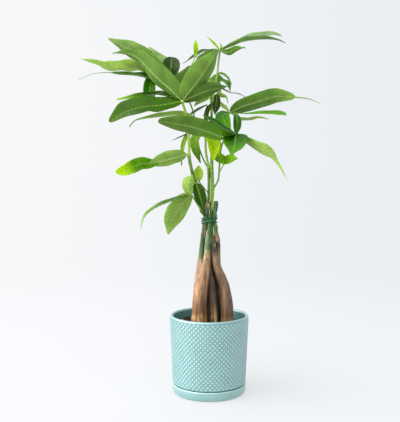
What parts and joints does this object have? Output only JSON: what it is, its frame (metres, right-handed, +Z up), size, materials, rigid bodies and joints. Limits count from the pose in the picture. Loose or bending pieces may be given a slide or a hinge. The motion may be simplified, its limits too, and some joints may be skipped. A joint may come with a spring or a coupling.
{
  "type": "potted money tree",
  "caption": "Bundled-trunk money tree with palmate leaves, tied with a twist tie, in a glazed hobnail ceramic pot standing on its saucer.",
  "frame": {"origin": "centre of the saucer's flat underside, on the surface that the pot stands on", "axes": "+Z up along the pot's axis; -Y towards the viewer; +X to the viewer's right"},
  "size_m": [0.3994, 0.2003, 0.5892],
  "materials": {
    "glaze": "gloss",
    "soil": "matte",
    "bark": "satin",
    "green_stem": "satin",
    "leaf": "satin",
    "young_leaf": "satin",
    "tie": "gloss"
  },
  "bodies": {
    "root": {"saucer": "glaze", "pot": "glaze", "soil": "soil", "trunk_front_left": "bark", "trunk_back_left": "bark", "trunk_middle": "bark", "trunk_right": "bark", "trunk_back_right": "bark", "twist_tie": "tie", "shoot_left": "green_stem", "leaf_upper_left": "leaf", "leaf_back_left": "leaf", "leaf_top": "leaf", "leaf_back_right": "leaf", "leaf_right": "leaf", "leaf_front_right": "leaf", "leaf_centre": "leaf", "leaf_low_left": "leaf", "leaf_lowest": "leaf", "leaf_small_right": "leaf", "young_leaf_left": "young_leaf", "young_leaf_low": "young_leaf"}
  },
  "joints": []
}
